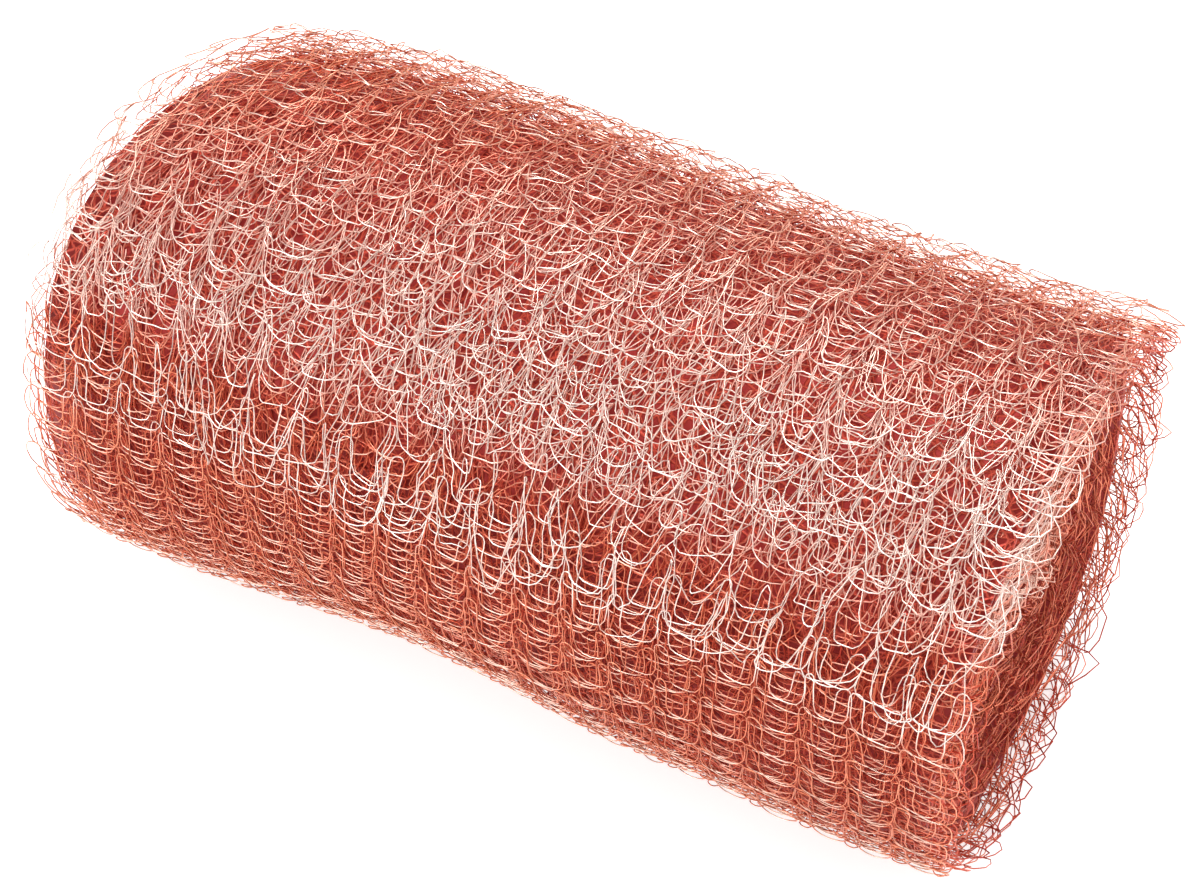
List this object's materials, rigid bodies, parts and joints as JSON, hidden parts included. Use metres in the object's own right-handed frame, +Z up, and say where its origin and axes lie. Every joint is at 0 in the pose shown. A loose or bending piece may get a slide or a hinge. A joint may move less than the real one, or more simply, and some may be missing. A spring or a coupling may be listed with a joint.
{
  "type": "copper mesh roll",
  "caption": "Band of knitted copper wire mesh, wound into a soft coreless roll that lies on its side, with a row of loose loops at its free end.",
  "frame": {"origin": "middle of the roll's outline on the surface that it lies on", "axes": "+X along the roll, to the right as seen from the front; +Y to the back, away from the free end; +Z up"},
  "size_m": [0.1271, 0.074, 0.0731],
  "materials": {
    "copper_wire": null
  },
  "bodies": {
    "root": {"mesh_roll": "copper_wire"}
  },
  "joints": []
}
